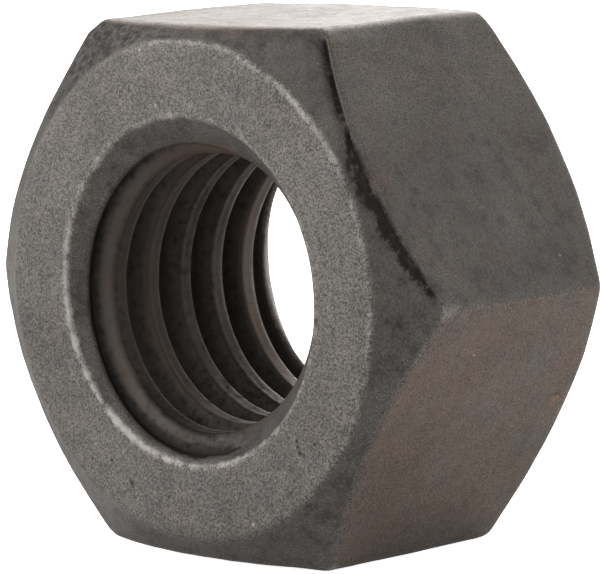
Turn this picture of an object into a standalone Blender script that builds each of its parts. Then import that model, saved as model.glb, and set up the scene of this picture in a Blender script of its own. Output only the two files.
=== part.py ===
"""A plain heavy hex nut for a 5/8-11 thread, made of one solid piece of hot-forged steel.

The thread axis is the Y axis and the nut stands on one of its flats, with +Z up. The origin is
the nut's centre, on the thread axis. The top face looks along -Y and the bearing face along +Y.
All sizes are in metres, and angles in degrees.
"""

from math import cos, pi, radians, sin, tan

import bmesh
import bpy

# The hexagon
ACROSS_FLATS = 0.0269
HEIGHT = 0.01495
CORNER_RADIUS = 0.0008  # the rounding along the six long corners

# The conical chamfers, which leave a round face at each end
TOP_FACE_INSET = 0.00105  # from a flat in to the round edge of the top face
BEARING_FACE_INSET = 0.00005
CHAMFER_ANGLE = 34  # between the cone and the face

# The thread, right-handed, with a 60 degree section
MAJOR_DIAMETER = 0.015875
PITCH = 0.0254 / 11
FLANK_ANGLE = 30  # between a flank and the plane square to the axis
ROOT_FLAT = PITCH / 8
CREST_FLAT = 0.00085
THREAD_DEPTH = (PITCH - ROOT_FLAT - CREST_FLAT) / 2 / tan(radians(FLANK_ANGLE))
START_ANGLE = 171  # where a crest's middle meets the top face, from +X towards +Z

# The countersinks that lead a bolt into the thread
COUNTERSINK_MARGIN = 0.0008  # how far a countersink reaches past the thread's roots
COUNTERSINK_ANGLE = 82  # the cone's included angle

# How finely round shapes are faceted, and how far the cutters run past what they cut
ROUND_SEGMENTS = 72
CORNER_SEGMENTS = 3
OVERRUN = 0.002
SHARP_ANGLE = 18  # edges that turn by more than this stay sharp in the shading

STEEL_COLOUR = (0.115, 0.105, 0.098, 1.0)
STEEL_ROUGHNESS = 0.6
STEEL_METALLIC = 0.5


def clear_scene():
    for obj in list(bpy.data.objects):
        bpy.data.objects.remove(obj)


def make_steel():
    material = bpy.data.materials.new("scaled_steel")
    material.use_nodes = True
    shader = material.node_tree.nodes["Principled BSDF"]
    shader.inputs["Base Color"].default_value = STEEL_COLOUR
    shader.inputs["Roughness"].default_value = STEEL_ROUGHNESS
    shader.inputs["Metallic"].default_value = STEEL_METALLIC
    return material


def add_object(name, shape):
    """Make an object of a closed bmesh, with all its faces pointing out."""
    bmesh.ops.recalc_face_normals(shape, faces=shape.faces)
    if shape.calc_volume(signed=True) < 0:
        bmesh.ops.reverse_faces(shape, faces=shape.faces)
    mesh = bpy.data.meshes.new(name)
    shape.to_mesh(mesh)
    shape.free()
    obj = bpy.data.objects.new(name, mesh)
    bpy.context.scene.collection.objects.link(obj)
    return obj


def make_cutter(name, shape):
    cutter = add_object(name, shape)
    cutter.hide_render = True
    cutter.display_type = "WIRE"
    return cutter


def around_axis(radius, angle, y):
    """The point at this radius and angle about the thread axis, turning from +X towards +Z."""
    return (radius * cos(angle), y, radius * sin(angle))


def hexagonal_bar():
    """A bar with two level flats and rounded long corners, longer than the nut at both ends."""
    bar = bmesh.new()
    apex = ACROSS_FLATS / 2 / cos(pi / 6)
    start = -HEIGHT / 2 - OVERRUN
    corners = [bar.verts.new(around_axis(apex, i * pi / 3, start)) for i in range(6)]
    end = bmesh.ops.extrude_face_region(bar, geom=[bar.faces.new(corners)])["geom"]
    moved = [item for item in end if isinstance(item, bmesh.types.BMVert)]
    bmesh.ops.translate(bar, verts=moved, vec=(0, HEIGHT + 2 * OVERRUN, 0))
    long_edges = [e for e in bar.edges if abs(e.verts[0].co.y - e.verts[1].co.y) > HEIGHT]
    bmesh.ops.bevel(
        bar,
        geom=long_edges,
        offset=CORNER_RADIUS * tan(pi / 6),
        segments=CORNER_SEGMENTS,
        profile=0.5,
        affect="EDGES",
    )
    return bar


def turned(profile):
    """The solid swept by turning a profile of (radius, y) points about the thread axis.

    The profile starts and ends on the axis.
    """
    shape = bmesh.new()
    tips = [shape.verts.new((0, profile[0][1], 0)), shape.verts.new((0, profile[-1][1], 0))]
    rings = [
        [
            shape.verts.new(around_axis(radius, 2 * pi * i / ROUND_SEGMENTS, y))
            for i in range(ROUND_SEGMENTS)
        ]
        for radius, y in profile[1:-1]
    ]
    for i in range(ROUND_SEGMENTS):
        j = (i + 1) % ROUND_SEGMENTS
        shape.faces.new((tips[0], rings[0][i], rings[0][j]))
        shape.faces.new((tips[1], rings[-1][j], rings[-1][i]))
        for ring, following in zip(rings, rings[1:]):
            shape.faces.new((ring[i], following[i], following[j], ring[j]))
    return shape


def chamfer_envelope():
    """The round blank that the chamfer cones bound, widest where the two cones meet."""
    slope = tan(radians(CHAMFER_ANGLE))
    top = ACROSS_FLATS / 2 - TOP_FACE_INSET
    bearing = ACROSS_FLATS / 2 - BEARING_FACE_INSET
    widest = (HEIGHT / slope + top + bearing) / 2
    waist = (bearing - top) * slope / 2
    return turned(
        [
            (0, -HEIGHT / 2),
            (top, -HEIGHT / 2),
            (widest, waist),
            (bearing, HEIGHT / 2),
            (0, HEIGHT / 2),
        ]
    )


def bore_and_countersinks():
    """The cutter for the plain hole, which widens into a cone at each face."""
    slope = tan(radians(COUNTERSINK_ANGLE / 2))
    bore = MAJOR_DIAMETER / 2 - THREAD_DEPTH
    mouth = MAJOR_DIAMETER / 2 + COUNTERSINK_MARGIN
    inner = HEIGHT / 2 - (mouth - bore) / slope
    outer = HEIGHT / 2 + OVERRUN
    wide = mouth + OVERRUN * slope
    return turned(
        [(0, -outer), (wide, -outer), (bore, -inner), (bore, inner), (wide, outer), (0, outer)]
    )


def groove_section():
    """The thread groove's outline, as (radius, offset along the axis), from inside the bore out.

    Its mouth lies inside the bore, where the flanks have come half way across the crests.
    """
    root = MAJOR_DIAMETER / 2
    half_root = ROOT_FLAT / 2
    half_mouth = (PITCH - CREST_FLAT / 2) / 2
    inside = root - (half_mouth - half_root) / tan(radians(FLANK_ANGLE))
    return [(inside, -half_mouth), (root, -half_root), (root, half_root), (inside, half_mouth)]


def thread_groove():
    """The helical cutter for the thread, which starts and ends outside the nut."""
    groove = bmesh.new()
    section = groove_section()
    first_turn = -2
    last_turn = int(HEIGHT / PITCH) + 3
    rings = []
    for step in range((last_turn - first_turn) * ROUND_SEGMENTS + 1):
        turns = first_turn + step / ROUND_SEGMENTS
        angle = radians(START_ANGLE) - 2 * pi * turns
        y = PITCH * (turns + 0.5) - HEIGHT / 2
        rings.append([groove.verts.new(around_axis(r, angle, y + offset)) for r, offset in section])
    for ring, following in zip(rings, rings[1:]):
        for i in range(len(section)):
            j = (i + 1) % len(section)
            groove.faces.new((ring[i], following[i], following[j], ring[j]))
    groove.faces.new(rings[0])
    groove.faces.new(rings[-1][::-1])
    return groove


def combine(obj, other, operation):
    boolean = obj.modifiers.new(other.name, "BOOLEAN")
    boolean.operation = operation
    boolean.object = other


def apply_modifiers(obj):
    """Give the object the mesh that its modifiers make, shaded smooth between its sharp edges."""
    shaped = obj.evaluated_get(bpy.context.evaluated_depsgraph_get())
    mesh = bpy.data.meshes.new_from_object(shaped)
    mesh.shade_smooth()
    mesh.set_sharp_from_angle(angle=radians(SHARP_ANGLE))
    obj.modifiers.clear()
    obj.data = mesh


def make_nut():
    nut = add_object("nut_body", hexagonal_bar())
    nut.data.materials.append(make_steel())
    combine(nut, make_cutter("chamfer_cutter", chamfer_envelope()), "INTERSECT")
    combine(nut, make_cutter("bore_cutter", bore_and_countersinks()), "DIFFERENCE")
    combine(nut, make_cutter("thread_cutter", thread_groove()), "DIFFERENCE")
    apply_modifiers(nut)


clear_scene()
make_nut()
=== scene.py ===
"""The looks of the heavy hex nut: a worn, hot-forged steel body with a tapped hole, in a pale studio.

One detailed body replaces the plain CAD node. Its surface is a net of points around the thread axis,
the Y axis: the outside follows the nut's outline at each angle, and the hole follows the thread's
helix. Angles around the axis run from +X towards +Z. The top face is the one at -Y.

Lengths are in metres, in the same frame as the CAD model. Angles are in degrees, apart from the arrays
called angles or around, which are in radians. Shares mark each point of the net for the material,
mostly with values from 0 to 1.
"""

from math import cos, pi, radians, tan
from typing import NamedTuple

import bmesh
import bpy
import numpy as np
from mathutils import Matrix, Vector, noise


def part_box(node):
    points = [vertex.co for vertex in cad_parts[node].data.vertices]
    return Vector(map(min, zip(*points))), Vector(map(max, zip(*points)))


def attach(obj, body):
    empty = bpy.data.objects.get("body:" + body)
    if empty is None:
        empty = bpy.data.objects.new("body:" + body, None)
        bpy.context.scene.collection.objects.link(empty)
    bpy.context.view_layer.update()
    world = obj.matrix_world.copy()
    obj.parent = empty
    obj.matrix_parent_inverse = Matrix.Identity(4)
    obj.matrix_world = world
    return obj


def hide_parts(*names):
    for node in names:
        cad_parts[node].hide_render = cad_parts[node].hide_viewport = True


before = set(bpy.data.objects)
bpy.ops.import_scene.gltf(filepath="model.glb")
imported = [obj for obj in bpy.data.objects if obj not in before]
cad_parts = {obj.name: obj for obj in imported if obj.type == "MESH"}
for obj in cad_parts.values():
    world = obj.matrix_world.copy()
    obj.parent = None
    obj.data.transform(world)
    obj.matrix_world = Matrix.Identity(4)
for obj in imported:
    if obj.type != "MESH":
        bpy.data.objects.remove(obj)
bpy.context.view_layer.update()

MM = 0.001
TINY = 1e-9  # keeps a length from being zero where it divides

# Sizes that the frame gives
LOW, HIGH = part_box("nut_body")
FLAT = (HIGH.z - LOW.z) / 2  # from the axis to a flat
HALF_HEIGHT = (HIGH.y - LOW.y) / 2
CORNER = (HIGH.x - LOW.x) / 2  # from the axis to a rounded corner

# Sizes that repeat the CAD model's
TOP_FACE = FLAT - 1.05 * MM
BEARING_FACE = FLAT - 0.05 * MM
CHAMFER_SLOPE = tan(radians(34))
MAJOR = 15.875 * MM / 2
MINOR = 13.85 * MM / 2
PITCH = 25.4 * MM / 11
ROOT_FLAT = PITCH / 8
FLANK_SLOPE = tan(radians(30))
START_ANGLE = 171

# The countersinks. The top one is steeper inside than at the face.
MOUTH = MAJOR + 0.76 * MM
MOUTH_SHIFT = 0.05 * MM  # towards +X
MOUTH_ANGLE = 53  # from the axis, near the face
MOUTH_ANGLE_CHANGE = 11  # how much less that is on the +X side
LEAD_IN = MAJOR + 0.17 * MM  # where the steeper cone would meet the face
LEAD_IN_SLOPE = tan(radians(36))
FAR_MOUTH = MAJOR + 0.8 * MM
FAR_SLOPE = tan(radians(41))

# The corners of the outline, from inside the top countersink round to inside the far one, and how far
# each is rounded
THROAT, RIM, RING_EDGE, TOP_EDGE, FAR_EDGE, FAR_RING_EDGE, FAR_RIM, FAR_THROAT = range(8)
ROUNDING = {
    THROAT: 0.08 * MM,
    RIM: 0.13 * MM,
    RING_EDGE: 0.15 * MM,
    TOP_EDGE: 0.13 * MM,
    FAR_EDGE: 0.15 * MM,
    FAR_RING_EDGE: 0.12 * MM,
    FAR_RIM: 0.12 * MM,
    FAR_THROAT: 0.08 * MM,
}
TOP_FLAT_ROUNDING = 0.32 * MM  # added along the top edge of the top flat
THREAD_ROUNDING = 0.035 * MM
BLUR_TAPS = np.linspace(-2.4, 2.4, 13)

# The net of points
SECTOR_COLUMNS = 80  # from one corner of the hexagon to the next
CORNER_CROWDING = 0.45  # how much closer the columns stand at the corners
JOIN_DEPTH = 0.2 * MM  # below each face, where the outside's net meets the hole's
OUTLINE_ROWS = (6, 16, 26, 24, 10, 10, 6)  # from each corner of the outline to the next
EDGE_CROWDING = 0.65  # how much closer the rows stand at the outline's corners
THREAD_ROWS = (1, 4, 6, 4, 1)  # half a root, a flank, a crest, a flank and half a root

# What forging, tapping and handling did. Each wave or wobble has a height, a size and a seed.
RING_WOBBLE = (0.07 * MM, 5 * MM, 1)
FAR_RING_WOBBLE = (0.05 * MM, 4 * MM, 2)
RIM_WOBBLE = (0.03 * MM, 3 * MM, 3)
FAR_RIM_WOBBLE = (0.03 * MM, 3 * MM, 4)
LEAST_CHAMFER = 0.03 * MM
FORGED_WAVES = ((0.055 * MM, 6 * MM, 11), (0.014 * MM, 1.3 * MM, 12))
FACE_WAVES = ((0.012 * MM, 4 * MM, 13),)
THREAD_WAVES = ((0.012 * MM, 0.9 * MM, 52),)
END_FADE = 0.4 * MM  # where the waves start, from the ends of the outline
RIM_FADE = 0.3 * MM  # and from the rims of the countersinks
TOP_SAG = 0.1 * MM
TOP_SAG_IN_FRONT = 0.16 * MM  # added towards the top face
THREAD_DROP = 0.1 * MM  # how far below the nut's own axis the thread runs
THREAD_DROP_AT_TOP = 0.2 * MM  # added at the top face
TOOL_MARK_DEPTH = 0.035 * MM
FOLD_DEPTH = 0.3 * MM
FOLD_WIDTH = 0.56 * MM
FOLD_WIDENING = 0.5 * MM
FOLD_ENDS = (0.5, 59.2)  # the angles that it runs between
FOLD_GAP = 40.5  # where the fold nearly closes
FOLD_CLEARANCE = 0.34 * MM  # from the edge to the bright line beside the fold
# how dark the painted shade along the fold is
FOLD_SHADE = 0.95
EDGE_SOOT = 0.37  # how dark the scale is on the chamfers and in the countersinks


# --- Shapes around the axis -----------------------------------------------------------------------


def column_angles():
    """The angle of each column of points, from 0 up, crowded towards the hexagon's corners."""
    share = np.arange(SECTOR_COLUMNS) / SECTOR_COLUMNS
    sector = share - CORNER_CROWDING * np.sin(2 * pi * share) / (2 * pi)
    return np.concatenate([(corner + sector) * pi / 3 for corner in range(6)])


def hexagon_radius(angles):
    """The distance from the axis to the side of the nut, which has rounded corners."""
    apex = 1 / cos(pi / 6)  # how far out a sharp corner would be, for each unit to a flat
    rounding = (FLAT * apex - CORNER) / (apex - 1)
    pivot = (FLAT - rounding) * apex
    from_corner = (angles + pi / 6) % (pi / 3) - pi / 6
    from_flat = angles % (pi / 3) - pi / 6
    tangent = np.arctan((FLAT - rounding) * tan(pi / 6) / FLAT)
    inside = np.maximum(rounding**2 - (pivot * np.sin(from_corner)) ** 2, 0)
    rounded = pivot * np.cos(from_corner) + np.sqrt(inside)
    return np.where(np.abs(from_flat) < tangent, FLAT / np.cos(from_flat), rounded)


def piece_lengths(corners):
    """The straight pieces of each column's line, and their lengths."""
    step = corners[:, 1:] - corners[:, :-1]
    return step, np.maximum(np.linalg.norm(step, axis=2), TINY)


def along(corners, distance):
    """The places at these distances along each column's line of straight pieces."""
    step, length = piece_lengths(corners)
    start = np.cumsum(length, axis=1) - length
    place = np.repeat(corners[:, :1], distance.shape[1], axis=1)
    for k in range(step.shape[1]):
        share = (distance - start[:, k : k + 1]) / length[:, k : k + 1]
        place = place + np.clip(share, 0, 1)[..., None] * step[:, k : k + 1]
    return place


def along_rounded(corners, distance, rounding):
    """As along, with the corners rounded by a weighted mean over a few roundings either way."""
    weights = np.exp(-(BLUR_TAPS**2) / 2)
    weights /= weights.sum()
    taps = zip(BLUR_TAPS, weights)
    return sum(weight * along(corners, distance + tap * rounding) for tap, weight in taps)


def corner_distances(corners):
    """How far along its line each corner lies."""
    length = piece_lengths(corners)[1]
    return np.concatenate([np.zeros((len(corners), 1)), np.cumsum(length, axis=1)], axis=1)


def bell(distance, width):
    """1 at no distance, falling smoothly to about a third at the width, on either side."""
    return np.exp(-((distance / width) ** 2))


def plateau(distance, width, power=6):
    """As bell, with a flatter top and steeper sides. The power is even."""
    return np.exp(-((distance / width) ** power))


def smooth_step(value, low, high):
    """0 at low and before it, 1 at high and beyond it, and smooth between."""
    share = np.clip((value - low) / (high - low), 0, 1)
    return share * share * (3 - 2 * share)


def larger(a, b, blend):
    """The larger of a and b, with the corner between them rounded."""
    near = np.maximum(blend - np.abs(a - b), 0) / blend
    return np.maximum(a, b) + near * near * blend / 4


def ripple(points, size, seed, octaves=3):
    """Smooth noise from about -1 to 1 at each point, with lumps of about this size."""
    shift = Vector((seed * 17.3, seed * -9.1, seed * 5.7))
    return np.array([noise.fractal(Vector(p) / size + shift, 1.0, 2.0, octaves) for p in points])


def ring_ripple(angles, size, seed):
    """Smooth noise along a circle of about the nut's size, as ripple gives."""
    circle = np.stack([np.cos(angles), 0 * angles, np.sin(angles)], axis=1) * FLAT
    return ripple(circle, size, seed)


def wobble(angles, kind):
    """How far this kind of wobble widens a circle at each angle."""
    height, size, seed = kind
    return height * ring_ripple(angles, size, seed)


def waves(points, kinds):
    """How far these kinds of waves raise each point."""
    return sum(height * ripple(points, size, seed) for height, size, seed in kinds)


def in_space(angles, radius, y):
    """The points at these angles, distances from the axis and places along it."""
    return np.stack([radius * np.cos(angles), y, radius * np.sin(angles)], axis=-1)


# --- The outside ----------------------------------------------------------------------------------
# "beyond" holds, for each corner of the outline, how far past it each point of the net lies, measured
# along the outline.


def outline(angles):
    """Each column's corners as (radius, y), in the order of their names."""
    side = hexagon_radius(angles)
    top = TOP_FACE + wobble(angles, RING_WOBBLE)
    far = np.minimum(BEARING_FACE + wobble(angles, FAR_RING_WOBBLE), side - LEAST_CHAMFER)
    rim = mouth_radius(angles) + wobble(angles, RIM_WOBBLE)
    far_rim = FAR_MOUTH + wobble(angles, FAR_RIM_WOBBLE)
    depth = 2 * JOIN_DEPTH
    throat = mouth_radius(angles) - depth * sink_slope(angles)
    far_throat = np.full_like(angles, FAR_MOUTH - depth * FAR_SLOPE)
    face = np.full_like(angles, HALF_HEIGHT)
    corners = {
        THROAT: (throat, depth - face),
        RIM: (rim, -face),
        RING_EDGE: (top, -face),
        TOP_EDGE: (side, (side - top) * CHAMFER_SLOPE - face),
        FAR_EDGE: (side, face - (side - far) * CHAMFER_SLOPE),
        FAR_RING_EDGE: (far, face),
        FAR_RIM: (far_rim, face),
        FAR_THROAT: (far_throat, face - depth),
    }
    return np.stack([np.stack(corners[k], axis=1) for k in sorted(corners)], axis=1)


def outline_rows(marks):
    """Each row's distance along each column's line, crowded near the line's corners.

    The first and the last piece of the line keep only the half that is nearer to the face.
    """
    rows = []
    for k, count in enumerate(OUTLINE_ROWS):
        share = np.arange(count) / count
        if k == 0:
            share = 0.5 + share / 2
        if k == len(OUTLINE_ROWS) - 1:
            share = np.arange(count + 1) / count / 2
        else:
            crowded = 0.5 - 0.5 * np.cos(pi * share)
            share = (1 - EDGE_CROWDING) * share + EDGE_CROWDING * crowded
        rows.append(marks[:, k : k + 1] * (1 - share) + marks[:, k + 1 : k + 2] * share)
    return np.concatenate(rows, axis=1)


def outside(angles):
    """The outside's net: its points and their shares."""
    corners = outline(angles)
    marks = corner_distances(corners)
    distance = outline_rows(marks)
    beyond = distance - marks.T[:, :, None]
    place = along_rounded(corners, distance, edge_rounding(angles, beyond))
    run = np.gradient(place, axis=1)
    run /= np.maximum(np.linalg.norm(run, axis=2, keepdims=True), TINY)
    outward = np.stack([run[..., 1], -run[..., 0]], axis=2)
    fold = fold_depth(angles, -beyond[TOP_EDGE])
    place = place - outward * fold[..., None] * FOLD_DEPTH
    around = np.repeat(angles[:, None], distance.shape[1], axis=1)
    points = in_space(around, place[..., 0], place[..., 1]).reshape(-1, 3)
    normals = in_space(around, outward[..., 0], outward[..., 1]).reshape(-1, 3)
    points = points + normals * unevenness(points, beyond)[:, None]
    points[:, 2] -= top_flat_sag(points)
    shares = {
        "wear_and_highlight": np.maximum(edge_wear(angles, beyond), corner_wear(angles, beyond)),
        "scale_and_shade": outside_scale_and_shade(angles, beyond, fold),
        "rust": outside_rust(angles, beyond),
        "grain": outside_grain(angles, beyond),
    }
    return points, {name: values.ravel() for name, values in shares.items()}


def edge_rounding(angles, beyond):
    """How far each edge of the outside is rounded, blended between one edge and the next."""
    rounding = np.zeros_like(beyond[THROAT])
    total = np.zeros_like(beyond[THROAT])
    on_top = smooth_step(np.cos(angles - pi / 2), cos(radians(32)), cos(radians(20)))
    for k, size in ROUNDING.items():
        if k == TOP_EDGE:
            size = size + TOP_FLAT_ROUNDING * on_top
        uneven = 1 + 0.45 * ring_ripple(angles, 4 * MM, 20 + k)
        nearness = 1 / (np.abs(beyond[k]) + 0.05 * MM) ** 2
        rounding += nearness * (size * uneven)[:, None]
        total += nearness
    return rounding / total


def unevenness(points, beyond):
    """How far forging and handling left each point out of place. It fades out near the hole."""
    distance = beyond[THROAT]
    fade = smooth_step(distance - distance[:, :1], 0, END_FADE)
    fade = fade * smooth_step(distance[:, -1:] - distance, 0, END_FADE)
    fade = fade * smooth_step(np.abs(beyond[RIM]), 0, RIM_FADE)
    fade = fade * smooth_step(np.abs(beyond[FAR_RIM]), 0, RIM_FADE)
    forged = forged_share(beyond).ravel()
    height = waves(points, FORGED_WAVES) * forged + waves(points, FACE_WAVES) * (1 - forged)
    return height * fade.ravel()


def top_flat_sag(points):
    """How far down each point of the top flat has sagged."""
    in_front = smooth_step(points[:, 1], 3 * MM, -6 * MM)
    on_top = smooth_step(points[:, 2], FLAT - 1.1 * MM, FLAT - 0.25 * MM)
    return (TOP_SAG + TOP_SAG_IN_FRONT * in_front) * on_top


def forged_share(beyond):
    """1 on the chamfers and the flats, which keep their forged skin, and 0 on the faces."""
    start = smooth_step(beyond[RING_EDGE], 0, 0.5 * MM)
    return start * smooth_step(-beyond[FAR_RING_EDGE], 0, 0.5 * MM)


def fold_breadth(turn):
    """How broad the fold is at this angle, from 0 to 1: most on its lower half."""
    return smooth_step(41 - turn, 0, 10) * smooth_step(turn, -4, 16)


def fold_depth(angles, before_edge):
    """The fold that forging left where the top chamfer meets the upper right flat, from 0 to 1."""
    turn = np.degrees(angles)[:, None]
    start, end = FOLD_ENDS
    reach = smooth_step(turn - start, 0, 3.5) * smooth_step(end - turn, 0, 2.5)
    gap = 1 - 0.6 * bell(turn - FOLD_GAP, 1.1)
    uneven = 1 + 0.22 * ring_ripple(angles, 1.3 * MM, 31)[:, None]
    broad = fold_breadth(turn)
    share = before_edge / ((FOLD_WIDTH + FOLD_WIDENING * broad) * uneven)
    rise = smooth_step(share + 0.02 + 0.28 * broad, 0, 0.16 + 0.14 * broad)
    return reach * gap * rise * (1 - smooth_step(share, 0.4, 1.3))


def outside_scale_and_shade(angles, beyond, fold):
    """How dark the scale and the painted shade are: painted shade most in the fold and on the upper
    right flat, and dark scale on the chamfers and in the countersinks.
    """
    chamfer = smooth_step(beyond[RING_EDGE], 0, 0.4 * MM)
    chamfer = chamfer * smooth_step(-beyond[TOP_EDGE], 0, 0.3 * MM)
    far = smooth_step(beyond[FAR_EDGE], 0, 0.3 * MM)
    far = far * smooth_step(-beyond[FAR_RING_EDGE], 0, 0.3 * MM)
    sinks = smooth_step(-beyond[RIM], 0, 0.15 * MM) + (beyond[FAR_RIM] > 0)
    turn = np.degrees(angles)[:, None]
    flat = (beyond[TOP_EDGE] > 0) & (beyond[FAR_EDGE] < 0)
    # painted shade on the lower half of the upper right flat
    shaded_flat = 0.33 * flat * smooth_step(50 - turn, 0, 20)
    upper_left = 0.22 * chamfer * bell(turn - 118, 28)
    edges = EDGE_SOOT * np.clip(chamfer + far + sinks, 0, 1)
    # the fold's darkness is painted shade
    return np.maximum(np.maximum(edges + upper_left, shaded_flat), FOLD_SHADE * fold)


def edge_wear(angles, beyond):
    """How much bright steel shows along each edge. On the top edge it keeps clear of the fold."""
    turn = np.degrees(angles)
    low_left = bell(turn - 215, 75)
    up_right = bell(turn - 50, 45) + 0.7 * bell(turn - 355, 35)
    by_fold = smooth_step(turn, 2, 12) * smooth_step(40 - turn, 0, 4) + smooth_step(turn, 332, 345)
    lines = {  # each one's amount and width
        RIM: (0.4 + 0.6 * low_left, 0.26 * MM),
        RING_EDGE: (0.2 + 0.42 * up_right, 0.24 * MM),
        TOP_EDGE: (0.15 + 0.28 * by_fold, 0.15 * MM),
        FAR_EDGE: (0.3, 0.12 * MM),
        FAR_RING_EDGE: (0.5, 0.15 * MM),
        FAR_RIM: (0.6, 0.18 * MM),
    }
    from_line = beyond.copy()
    from_line[TOP_EDGE] -= FOLD_CLEARANCE * (fold_breadth(turn) * smooth_step(turn, 2, 8))[:, None]
    wear_and_highlight = np.zeros_like(beyond[THROAT])
    for k, (amount, width) in lines.items():
        uneven = np.clip(0.8 + 0.6 * ring_ripple(angles, 1.2 * MM, 40 + k), 0.2, 1.2)
        wear_and_highlight = np.maximum(wear_and_highlight, bell(from_line[k], width) * (amount * uneven)[:, None])
    return np.clip(wear_and_highlight, 0, 1)


def corner_wear(angles, beyond):
    """How much bright steel shows along the hexagon's long corners: most near the top face."""
    from_corner = np.abs((angles + pi / 6) % (pi / 3) - pi / 6)[:, None] * CORNER
    flats = (beyond[TOP_EDGE] > -0.1 * MM) & (beyond[FAR_EDGE] < 0)
    front = bell(beyond[TOP_EDGE], 0.9 * MM)
    return (0.22 + 0.26 * front) * bell(from_corner, (0.3 + 0.25 * front) * MM) * flats


def outside_rust(angles, beyond):
    """How brown the steel is: most on the lower right side, least on the two faces."""
    turn = np.degrees(angles)[:, None]
    side = (beyond[TOP_EDGE] > 0) * 1.0
    lower_right = plateau(turn - 330, 32) * side
    top_edge = bell(beyond[TOP_EDGE], 0.5 * MM) * plateau(turn - 90, 28)
    return 0.12 + 0.5 * lower_right + 0.6 * top_edge + 0.08 * side * forged_share(beyond)


def outside_grain(angles, beyond):
    """How strong the steel's grain is: full on the faces, and finer on the forged skin."""
    lower_right = plateau(np.degrees(angles)[:, None] - 330, 30, 8)
    return 1 - (0.25 - 0.17 * lower_right) * forged_share(beyond)


# --- The hole -------------------------------------------------------------------------------------


class Column(NamedTuple):
    """One column of the hole's net, with a value for each of its rows."""

    rows: np.ndarray  # the row's number along the helix
    y: np.ndarray
    radius: np.ndarray
    tool_mark: np.ndarray  # how far a tool mark cuts into the crest, from -1 to 1
    shine: np.ndarray  # how bright the crest shows, as scuffed steel with a painted highlight, from 0 to 1


def thread_section():
    """One pitch of the thread as rows of (offset along the axis, radius), from root to root."""
    half_pitch = PITCH / 2
    half_root = ROOT_FLAT / 2
    half_crest = half_pitch - half_root - (MAJOR - MINOR) * FLANK_SLOPE
    one = [
        (-half_pitch, MAJOR),
        (-half_pitch + half_root, MAJOR),
        (-half_crest, MINOR),
        (half_crest, MINOR),
        (half_pitch - half_root, MAJOR),
    ]
    three = [(y + k * PITCH, radius) for k in (-1, 0, 1) for y, radius in one]
    corners = np.array([three + [(3 * half_pitch, MAJOR)]])
    marks = corner_distances(corners)[0, len(one) :]
    rows = []
    for start, end, count in zip(marks, marks[1:], THREAD_ROWS):
        first = 0.5 if count == 1 else 0
        rows.extend(start + (end - start) * (i + first) / count for i in range(count))
    return along_rounded(corners, np.array([rows]), np.full((1, len(rows)), THREAD_ROUNDING))[0]


def mouth_radius(angles):
    """The radius of the top countersink at the face."""
    return MOUTH + MOUTH_SHIFT * np.cos(angles)


def sink_slope(angles):
    """How fast the top countersink narrows with depth near the face: least on the +X side."""
    right = np.clip(1.6 * np.cos(angles), 0, 1)
    return np.tan(np.radians(MOUTH_ANGLE - MOUTH_ANGLE_CHANGE * right))


def sink_radius(angles, y):
    """The radius of the countersinks at this angle and place along the axis."""
    depth = HALF_HEIGHT + y
    outer = mouth_radius(angles) - depth * sink_slope(angles)
    top = np.maximum(outer, LEAD_IN - depth * LEAD_IN_SLOPE)
    return np.maximum(top, FAR_MOUTH - (HALF_HEIGHT - y) * FAR_SLOPE)


def thread_drop(y):
    """How far below the nut's own axis the tapped hole runs: most at the top face."""
    deeper = smooth_step(y, 1.2 * MM - HALF_HEIGHT, 4 * MM - HALF_HEIGHT)
    return THREAD_DROP + THREAD_DROP_AT_TOP * (1 - deeper)


def thread_columns(angles):
    """The hole's columns, and how many rows there are in one turn of the thread."""
    section = thread_section()
    per_turn = len(section)
    limit = HALF_HEIGHT - JOIN_DEPTH - 0.02 * MM
    tool_marks = np.random.default_rng(7).uniform(-1, 1, per_turn)
    after_crest = sum(THREAD_ROWS[:3])
    shine = np.zeros(per_turn)
    shine[after_crest - 1 : after_crest + 1] = 1  # a scuffed line with a painted highlight along the crest's far edge
    shine[after_crest - 3] = 0.5  # and a fainter one beside it
    rows = np.arange(-per_turn * 2, per_turn * 9)  # more turns than the nut has room for
    columns = []
    for angle in angles:
        base = -HALF_HEIGHT - PITCH * (angle - radians(START_ANGLE)) / (2 * pi)
        y = base + rows // per_turn * PITCH + section[rows % per_turn, 0]
        kept = np.abs(y) < limit
        part = rows[kept] % per_turn
        values = (section[part, 1], tool_marks[part], shine[part])
        columns.append(Column(rows[kept], y[kept], *values))
    return columns, per_turn


def hole(angles):
    """The hole's net: its points, their shares, its columns and how many rows there are in a turn."""
    columns, per_turn = thread_columns(angles)
    around = np.repeat(angles, [len(column.rows) for column in columns])
    y, radius, tool_mark, shine = map(np.concatenate, zip(*(column[1:] for column in columns)))
    crest = smooth_step(MINOR + 0.12 * MM - radius, 0, 0.1 * MM)
    root = smooth_step(radius, MAJOR - 0.55 * MM, MAJOR - 0.04 * MM)
    unwound = y + PITCH * around / (2 * pi)  # the same all along one turn of the helix
    helix = np.stack([np.cos(around) * MAJOR, unwound * 3, np.sin(around) * MAJOR], axis=1)
    torn = np.clip(0.5 + 0.9 * ripple(helix, 5 * MM, 51), 0, 1)
    radius = radius + crest * tool_mark * TOOL_MARK_DEPTH * torn
    radius = radius + waves(helix, THREAD_WAVES) - thread_drop(y) * np.sin(around)
    sink = sink_radius(around, y)
    in_thread = smooth_step(radius - sink, -0.02 * MM, 0.06 * MM)
    # a painted highlight along the far edge, where the crests meet the far countersink
    far_edge_highlight = bell(radius - sink, 0.25 * MM) * (y > HALF_HEIGHT / 2) * (radius < MINOR + 0.5 * MM)
    points = in_space(around, larger(radius, sink, np.where(y > 0, 0.3, 0.03) * MM), y)
    bright = shine * (0.3 + 0.7 * torn)
    shares = hole_shares(around, y, crest * in_thread, root, in_thread, far_edge_highlight, bright)
    return points, shares, columns, per_turn


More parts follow.
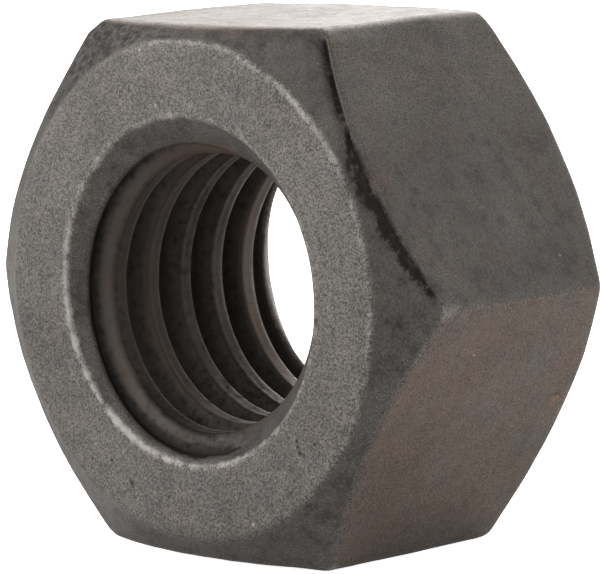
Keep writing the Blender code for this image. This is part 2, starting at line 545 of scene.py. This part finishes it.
def hole_shares(around, y, crest, root, in_thread, far_edge_highlight, bright):
    """The shares of the hole's points: the thread is brown, with painted shade darkest between its
    crests and deep in the hole, and painted highlights on its crests and its far edge.
    """
    depth = HALF_HEIGHT - np.abs(y)
    deep = smooth_step(depth, 1.3 * MM, 3.2 * MM)
    # 1 at the bottom of the hole, which is darker and browner
    low = np.clip(-np.sin(around), 0, 1) ** 4
    high = np.clip(np.sin(around), 0, 1) ** 6 * (1 - smooth_step(depth, 2.5 * MM, 4 * MM))
    tapped = np.maximum(in_thread, smooth_step(depth, 0.9 * MM, 1.3 * MM))
    # painted shade in the grooves deep in the hole and at the roots near the faces
    groove_shade = np.maximum(0.2 * deep * (1 - crest), 0.45 * root * (1 - deep))
    entrance = (0.04 + 0.24 * crest + 0.25 * low) * (1 - deep)
    # painted shade on the crests: more in the middle of the hole, less towards the far face
    middle_crests = 0.17 * bell(y - 0.4 * MM, 1.9 * MM)
    far_crests = 0.14 * smooth_step(y, 2.4 * MM, 3.8 * MM)
    crest_shade = (0.1 + middle_crests - far_crests) * crest * deep
    shade = groove_shade + entrance + 0.18 * low * deep + crest_shade
    # scuffed steel on the crests, with a painted highlight that grows towards the far face
    crest_scuff_and_highlight = crest * deep * bright * (0.14 + 0.44 * smooth_step(y, 0, 4 * MM))
    return {
        "wear_and_highlight": np.maximum(crest_scuff_and_highlight, far_edge_highlight),
        "scale_and_shade": (EDGE_SOOT + tapped * shade + 0.07 * low * (1 - tapped)) * (1 - far_edge_highlight),
        "rust": tapped * (0.45 + 0.45 * crest + 0.3 * low + 0.7 * high) + (1 - tapped) * 0.1,
        "grain": 0.9 - 0.75 * tapped,
    }


# --- The body -------------------------------------------------------------------------------------


def outside_faces(columns, rows):
    """The outside's faces, between each column and the next."""
    faces = []
    for i in range(columns):
        here, there = i * rows, (i + 1) % columns * rows
        faces.extend((here + j, here + j + 1, there + j + 1, there + j) for j in range(rows - 1))
    return faces


def hole_faces(columns, per_turn, offset, outside_rows):
    """The hole's faces. A row that ends at an end ring closes with a face of more corners."""
    starts = np.cumsum([0] + [len(column.rows) for column in columns]) + offset
    bases = [start - column.rows[0] for start, column in zip(starts, columns)]
    faces = []
    for i, column in enumerate(columns):
        k = (i + 1) % len(columns)
        shift = per_turn if k == 0 else 0  # once round the axis is one pitch along it
        here, there = bases[i], bases[k] - shift  # a point's number is one of these plus its row's
        first, last = column.rows[0], column.rows[-1]
        next_first, next_last = columns[k].rows[0] + shift, columns[k].rows[-1] + shift
        top, next_top = i * outside_rows, k * outside_rows
        bottom, next_bottom = top + outside_rows - 1, next_top + outside_rows - 1
        opening = range(here + first, here + next_first + 1)
        faces.append([top, *opening, there + next_first, next_top])
        for row in range(next_first, last):
            faces.append([here + row, here + row + 1, there + row + 1, there + row])
        closing = range(there + next_last, there + last - 1, -1)
        faces.append([here + last, bottom, next_bottom, *closing])
    return faces


def build_mesh(points, faces, shares):
    """A closed mesh with its faces pointing out and its shares as values at its points."""
    mesh = bpy.data.meshes.new("forged_nut")
    mesh.from_pydata(points.tolist(), [], [list(map(int, face)) for face in faces])
    for name, values in shares.items():
        layer = mesh.attributes.new(name, "FLOAT", "POINT")
        layer.data.foreach_set("value", values.astype(np.float32))
    shape = bmesh.new()
    shape.from_mesh(mesh)
    bmesh.ops.recalc_face_normals(shape, faces=shape.faces)
    if shape.calc_volume(signed=True) < 0:
        bmesh.ops.reverse_faces(shape, faces=shape.faces)
    shape.to_mesh(mesh)
    shape.free()
    mesh.shade_smooth()
    return mesh


def build_body():
    """The whole nut as one object."""
    angles = column_angles()
    outer, outer_shares = outside(angles)
    inner, inner_shares, columns, per_turn = hole(angles)
    rows = len(outer) // len(angles)
    faces = outside_faces(len(angles), rows) + hole_faces(columns, per_turn, len(outer), rows)
    shares = {name: np.concatenate([outer_shares[name], inner_shares[name]]) for name in outer_shares}
    body = bpy.data.objects.new("forged_nut", build_mesh(np.concatenate([outer, inner]), faces, shares))
    bpy.context.scene.collection.objects.link(body)
    return body


# --- Materials ------------------------------------------------------------------------------------


class Nodes:
    """Short ways to add and join the nodes of one node tree."""

    def __init__(self, tree):
        self.tree = tree

    def add(self, kind, **values):
        node = self.tree.nodes.new(kind)
        for name, value in values.items():
            setattr(node, name, value)
        return node

    def join(self, source, target):
        self.tree.links.new(source, target)

    def fill(self, socket, value):
        if isinstance(value, bpy.types.NodeSocket):
            self.join(value, socket)
        else:
            socket.default_value = value

    def share(self, name):
        return self.add("ShaderNodeAttribute", attribute_name=name).outputs["Fac"]

    def math(self, operation, a, b=0.0, c=0.0):
        node = self.add("ShaderNodeMath", operation=operation)
        for socket, value in zip(node.inputs, (a, b, c)):
            self.fill(socket, value)
        return node.outputs[0]

    def spread(self, value, low, high, to_low=0.0, to_high=1.0):
        """A smooth step from to_low, where the value is low or less, to to_high."""
        node = self.add("ShaderNodeMapRange", interpolation_type="SMOOTHSTEP")
        for socket, number in zip(node.inputs, (value, low, high, to_low, to_high)):
            self.fill(socket, number)
        return node.outputs[0]

    def mix(self, share, a, b, blend="MIX"):
        """Colour a, or colour b where the share is 1."""
        node = self.add("ShaderNodeMix", data_type="RGBA", blend_type=blend)
        self.fill(node.inputs["Factor"], share)
        self.fill(node.inputs["A"], a)
        self.fill(node.inputs["B"], b)
        return node.outputs["Result"]

    def sum_of(self, a, a_times, b, b_times):
        """a times its factor plus b times its factor."""
        return self.math("MULTIPLY_ADD", b, b_times, self.math("MULTIPLY", a, a_times))

    def shaken(self, value, lumps, amount):
        """The value, raised and lowered by this much of a noise that runs from 0 to 1."""
        return self.math("MULTIPLY_ADD", self.math("SUBTRACT", lumps, 0.5), amount, value)

    def noise(self, place, size, detail=3, rough=0.55, distortion=0.0):
        """Noise from 0 to 1 with lumps of about this size in metres."""
        node = self.add("ShaderNodeTexNoise")
        self.join(place, node.inputs["Vector"])
        node.inputs["Scale"].default_value = 1 / size
        node.inputs["Detail"].default_value = detail
        node.inputs["Roughness"].default_value = rough
        node.inputs["Distortion"].default_value = distortion
        return node.outputs["Fac"]

    def noise_around_axis(self, place, width, length):
        """Noise from 0 to 1 in arcs around the nut's axis, of about this width and length."""
        split = self.add("ShaderNodeSeparateXYZ")
        self.join(place, split.inputs[0])
        x, _, z = split.outputs
        radius = self.math("SQRT", self.math("MULTIPLY_ADD", x, x, self.math("MULTIPLY", z, z)))
        arcs = self.add("ShaderNodeCombineXYZ")
        self.fill(arcs.inputs[0], radius)
        self.fill(arcs.inputs[1], self.math("MULTIPLY", x, width / length))
        self.fill(arcs.inputs[2], self.math("MULTIPLY", z, width / length))
        return self.noise(arcs.outputs[0], width, 4, 0.7)

    def marked(self, place, flecks, marks):
        """How strongly the marks show. The flecks make their outlines uneven."""
        total = 0.0
        for x, y, z, radius, strength in marks:
            away = self.add("ShaderNodeVectorMath", operation="DISTANCE")
            self.join(place, away.inputs[0])
            away.inputs[1].default_value = (x * MM, y * MM, z * MM)
            uneven = self.math("MULTIPLY_ADD", flecks, radius * MM, away.outputs["Value"])
            near = self.spread(uneven, 0.5 * radius * MM, 1.6 * radius * MM, strength, 0.0)
            total = self.math("MAXIMUM", near, total)
        return total


OXIDE = (0.067, 0.0630, 0.0576, 1)
OXIDE_DARK = (0.050, 0.0470, 0.0430, 1)
# bare steel on worn edges, also used for the painted highlights in the hole
BARE_STEEL_AND_HIGHLIGHT = (0.20, 0.187, 0.175, 1)
RUST = (0.078, 0.050, 0.036, 1)
FRESH_RUST = (0.15, 0.085, 0.052, 1)
# the darkest scale, also used for the painted shade in the fold, on the upper right flat and in the
# hole
SCALE_AND_SHADE_BLACK = (0.016, 0.0143, 0.0128, 1)
BUMP_HEIGHT = 0.06 * MM

# Small marks on the surface, each as (x, y, z, radius, strength), with its lengths in millimetres
DARK_MARKS = (
    (7.46, -7.47, -6.7, 0.16, 1.0),
    (7.53, -7.47, -7.0, 0.17, 1.0),
    (7.67, -7.47, -7.28, 0.19, 1.0),
    (7.93, -7.47, -7.37, 0.16, 0.9),
    (8.66, -7.47, -6.77, 0.2, 0.9),
    (-4.11, -7.47, -10.03, 0.25, 0.9),
    (-1.47, -7.47, -10.45, 0.2, 0.8),
    (-5.53, -7.47, -9.0, 0.2, 0.8),
    (12.3, 6.2, -5.6, 0.25, 0.8),
)
BRIGHT_MARKS = (
    (-1.83, -7.47, 9.18, 0.15, 0.8),
    (-2.88, -7.47, 11.87, 0.16, 0.8),
    (4.38, -7.47, -11.19, 0.2, 1.0),
    (10.45, -7.47, -6.8, 0.17, 0.9),
    (11.47, -7.47, -4.4, 0.16, 0.7),
    (12.19, -6.36, -5.79, 0.14, 0.8),
    (14.04, -1.9, -2.58, 0.14, 1.0),
    (14.54, 3.99, 1.71, 0.12, 0.8),
)
BROWN_MARKS = (
    (12.95, -2.09, -4.46, 2.2, 0.35),
    (13.65, -4.65, -3.26, 1.4, 0.2),
    (14.57, 3.22, -1.66, 1.3, 0.35),
    (12.07, 6.26, -5.99, 0.7, 1.1),
    (10.56, -7.0, 8.61, 0.6, 1.2),
    (9.48, -1.67, 10.48, 1.4, 0.3),
    (12.26, -5.9, 5.66, 1.3, 0.3),
)


class Noises(NamedTuple):
    """The noises of the steel, from the largest lumps to the smallest."""

    broad: bpy.types.NodeSocket
    mottle: bpy.types.NodeSocket
    flecks: bpy.types.NodeSocket
    speckle: bpy.types.NodeSocket
    fine: bpy.types.NodeSocket


def steel():
    """Hot-forged steel under its dark scale: grainy, with bare edges and brown stains, with painted
    shade in its fold and hole, and with painted highlights in the hole.
    """
    material = bpy.data.materials.new("scaled_steel_worn")
    material.use_nodes = True
    n = Nodes(material.node_tree)
    shader = material.node_tree.nodes["Principled BSDF"]
    place = n.add("ShaderNodeTexCoord").outputs["Object"]
    wear_and_highlight, scale_and_shade, rust, grain = (n.share(name) for name in ("wear_and_highlight", "scale_and_shade", "rust", "grain"))
    noises = Noises(
        broad=n.noise(place, 6 * MM, 4),
        mottle=n.noise(place, 1.1 * MM, 5, 0.6),
        flecks=n.noise(place, 0.4 * MM, 4, 0.65),
        speckle=n.noise(place, 0.16 * MM, 3, 0.7),
        fine=n.noise(place, 0.08 * MM, 2, 0.7),
    )
    wear_and_highlight = n.math("MAXIMUM", wear_and_highlight, n.marked(place, noises.flecks, BRIGHT_MARKS))
    scale_and_shade = n.math("MAXIMUM", scale_and_shade, n.marked(place, noises.flecks, DARK_MARKS))
    rust = n.math("ADD", rust, n.marked(place, noises.flecks, BROWN_MARKS))

    tone = n.sum_of(noises.broad, 0.5, noises.mottle, 0.5)
    colour = n.mix(n.spread(tone, 0.3, 0.6), OXIDE_DARK, OXIDE)
    colour = rusted(n, colour, place, noises, rust)
    colour = n.mix(1.0, colour, steel_grit(n, place, noises, grain), "MULTIPLY")
    dark = steel_dark(n, noises, scale_and_shade, grain)
    bare_and_highlight = n.shaken(n.shaken(wear_and_highlight, noises.speckle, 1.1), noises.flecks, 0.8)
    bare_and_highlight = n.math("MULTIPLY", n.spread(bare_and_highlight, 0.1, 1.0), n.spread(wear_and_highlight, 0.02, 0.3))
    # bare steel and painted highlights over dark scale and painted shade
    colour = n.mix(bare_and_highlight, n.mix(dark, colour, SCALE_AND_SHADE_BLACK), BARE_STEEL_AND_HIGHLIGHT)
    n.join(colour, shader.inputs["Base Color"])
    # more metallic where the scale and the painted shade are darkest, which darkens them further
    n.join(n.spread(scale_and_shade, 0.6, 0.85, 0.55, 0.85), shader.inputs["Metallic"])
    n.join(steel_roughness(n, noises, tone, dark, bare_and_highlight, grain), shader.inputs["Roughness"])
    n.join(steel_bumps(n, noises, grain), shader.inputs["Normal"])
    return material


def rusted(n, colour, place, noises, rust):
    """The colour with brown stains, and with a fresher brown where there is most rust."""
    stain = n.sum_of(n.noise(place, 2.2 * MM, 6, 0.68, 0.3), 1.0, rust, 0.3)
    stain = n.math("MULTIPLY", n.spread(stain, 0.3, 1.0), n.spread(rust, 0.0, 0.5, 0.3, 1.0))
    fresh = n.spread(n.shaken(rust, noises.flecks, 2.0), 0.9, 2.0, 0.0, 0.8)
    fresh = n.math("MULTIPLY", fresh, n.spread(rust, 0.8, 1.0))
    return n.mix(fresh, n.mix(stain, colour, RUST), FRESH_RUST)


def steel_grit(n, place, noises, grain):
    """What the steel's grain multiplies the colour by: about 1, with faint arcs on the faces."""
    grit = n.spread(n.sum_of(noises.speckle, 0.22, noises.fine, 0.78), 0.3, 0.7)
    grit = n.math("MULTIPLY", n.math("SUBTRACT", grit, 0.5), grain)
    grit = n.shaken(n.math("MULTIPLY_ADD", grit, 1.65, 1.0), noises.flecks, 0.5)
    on_faces = n.math("MULTIPLY", n.spread(grain, 0.9, 1.0), 0.5)
    return n.shaken(grit, n.noise_around_axis(place, 0.3 * MM, 5 * MM), on_faces)


def steel_dark(n, noises, scale_and_shade, grain):
    """How much of the colour is dark scale and painted shade. Its outline is ragged where they are
    darkest.
    """
    ragged = n.spread(scale_and_shade, 0.4, 0.7, 0.0, 5.0)
    uneven = n.math("MULTIPLY", n.math("SUBTRACT", noises.mottle, 0.5), 1.6)
    uneven = n.shaken(n.shaken(uneven, noises.flecks, ragged), noises.speckle, 1.6)
    patchy = n.math("MULTIPLY_ADD", uneven, grain, scale_and_shade)
    return n.math("MULTIPLY", n.spread(patchy, 0.12, 0.9), n.spread(scale_and_shade, 0.02, 0.15))


def steel_roughness(n, noises, tone, dark, bare_and_highlight, grain):
    """How matt the steel is: more where it is dark or forged, less where it is bare or carries a
    painted highlight.
    """
    rough = n.sum_of(n.spread(tone, 0.3, 0.7, 0.62, 0.5), 1.0, dark, 0.15)
    rough = n.math("MULTIPLY_ADD", bare_and_highlight, -0.08, rough)
    matt = n.spread(grain, 0.65, 0.95, 0.2, 0.0)
    return n.math("MULTIPLY_ADD", n.spread(noises.flecks, 0.5, 0.7), matt, rough)


def steel_bumps(n, noises, grain):
    """The direction that the surface faces once its finest bumps are added."""
    height = n.sum_of(noises.speckle, 0.6, noises.fine, 0.4)
    height = n.math("MULTIPLY", height, n.spread(grain, 0.0, 1.0, 0.45, 1.0))
    bump = n.add("ShaderNodeBump")
    bump.inputs["Strength"].default_value = 0.7
    bump.inputs["Distance"].default_value = BUMP_HEIGHT
    n.join(n.sum_of(height, 1.0, noises.mottle, 0.8), bump.inputs["Height"])
    return bump.outputs["Normal"]


def pale(name, colour, glow, seen_glow):
    """A matt pale material that glows a little, and more where the camera sees it directly."""
    material = bpy.data.materials.new(name)
    material.use_nodes = True
    n = Nodes(material.node_tree)
    shader = material.node_tree.nodes["Principled BSDF"]
    place = n.add("ShaderNodeTexCoord").outputs["Object"]
    cloud = n.noise(place, 60 * MM, 2)
    shade = tuple(0.985 * c for c in colour[:3]) + (1,)
    n.join(n.mix(n.spread(cloud, 0.3, 0.7), colour, shade), shader.inputs["Base Color"])
    shader.inputs["Roughness"].default_value = 0.9
    shader.inputs["Specular IOR Level"].default_value = 0.1
    shader.inputs["Emission Color"].default_value = (1, 1, 1, 1)
    seen = n.add("ShaderNodeLightPath").outputs["Is Camera Ray"]
    n.join(n.spread(seen, 0, 1, glow, seen_glow), shader.inputs["Emission Strength"])
    return material


# --- Studio ---------------------------------------------------------------------------------------

CAMERA_AZIMUTH = 43.76
CAMERA_ELEVATION = 7.34
CAMERA_ROLL = -1.05
CAMERA_DISTANCE = 212.85 * MM
CAMERA_LENS = 251.9
CAMERA_SENSOR = 36
CAMERA_SHIFT = (0.52 * MM, -0.54 * MM)  # to its right and up, which centres the nut

ROOM_LIGHT = 0.01
ROOM_SEEN = 1.1
FLOOR_HALF_SIZE = 3
FLOOR_GAP = 0.05 * MM
FLOOR_COLOUR = (0.9, 0.9, 0.9, 1)
FLOOR_GLOW = 0.02
FLOOR_SEEN_GLOW = 0.88

SOFTBOX_SIZE = 400 * MM
SOFTBOX_DISTANCE = 500 * MM
WHITE = (1, 1, 1)
WARM = (1, 0.965, 0.93)
SOFTBOXES = (  # the name of each, its azimuth and elevation, its watts and its colour
    ("left_front_softbox", -50, 18, 3.1, WHITE),
    ("upper_front_softbox", -15, 35, 1.25, WHITE),
    ("camera_side_softbox", 44, 50, 0.95, WHITE),
    ("right_softbox", 90, 28, 0.75, WHITE),
    ("right_back_softbox", 125, 15, 1.65, WHITE),
    ("low_back_softbox", 200, 12, 2.7, WARM),
    ("high_back_softbox", 224, 35, 2.6, WARM),
)


def turned_to(azimuth, elevation, roll=0):
    """The rotation that looks from this side: 0, 0 looks along +Y, and elevation is from above."""
    spin = Matrix.Rotation(radians(azimuth), 3, "Z")
    tilt = Matrix.Rotation(radians(90 - elevation), 3, "X")
    return spin @ tilt @ Matrix.Rotation(radians(roll), 3, "Z")


def add_looking(name, data, view, from_centre):
    """An object that looks this way from a place given in its own directions."""
    holder = bpy.data.objects.new(name, data)
    holder.matrix_world = Matrix.Translation(view @ Vector(from_centre)) @ view.to_4x4()
    bpy.context.scene.collection.objects.link(holder)
    return holder


def add_camera():
    """A long lens a little above the nut, which frames it as the photo does."""
    camera = bpy.data.cameras.new("camera")
    camera.sensor_width = CAMERA_SENSOR
    camera.lens = CAMERA_LENS
    camera.clip_start = 10 * MM
    camera.clip_end = 20
    view = turned_to(CAMERA_AZIMUTH, CAMERA_ELEVATION, CAMERA_ROLL)
    holder = add_looking("camera", camera, view, (*CAMERA_SHIFT, CAMERA_DISTANCE))
    bpy.context.scene.camera = holder


def add_softbox(name, azimuth, elevation, watts, colour):
    """A soft square lamp that stands on this side of the nut and points at it."""
    lamp = bpy.data.lights.new(name, "AREA")
    lamp.shape = "SQUARE"
    lamp.size = SOFTBOX_SIZE
    lamp.energy = watts
    lamp.color = colour
    holder = add_looking(name, lamp, turned_to(azimuth, elevation), (0, 0, SOFTBOX_DISTANCE))
    holder.visible_camera = False


def add_world():
    """A pale room: white where the camera sees it, and dimmer in the light that it gives."""
    world = bpy.data.worlds.new("pale_room")
    world.use_nodes = True
    n = Nodes(world.node_tree)
    background = world.node_tree.nodes["Background"]
    background.inputs["Color"].default_value = (1, 1, 1, 1)
    seen = n.add("ShaderNodeLightPath").outputs["Is Camera Ray"]
    n.join(n.spread(seen, 0, 1, ROOM_LIGHT, ROOM_SEEN), background.inputs["Strength"])
    bpy.context.scene.world = world


def add_floor():
    """A plain pale floor just under the nut."""
    mesh = bpy.data.meshes.new("floor")
    shape = bmesh.new()
    bmesh.ops.create_grid(shape, x_segments=1, y_segments=1, size=FLOOR_HALF_SIZE)
    bmesh.ops.translate(shape, verts=shape.verts, vec=(0, 0, LOW.z - FLOOR_GAP))
    shape.to_mesh(mesh)
    shape.free()
    floor = bpy.data.objects.new("floor", mesh)
    mesh.materials.append(pale("floor_white", FLOOR_COLOUR, FLOOR_GLOW, FLOOR_SEEN_GLOW))
    bpy.context.scene.collection.objects.link(floor)


def add_studio():
    add_camera()
    add_world()
    add_floor()
    for softbox in SOFTBOXES:
        add_softbox(*softbox)
    bpy.context.scene.view_settings.view_transform = "Standard"


nut = build_body()
nut.data.materials.append(steel())
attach(nut, "root")
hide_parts("nut_body")
add_studio()
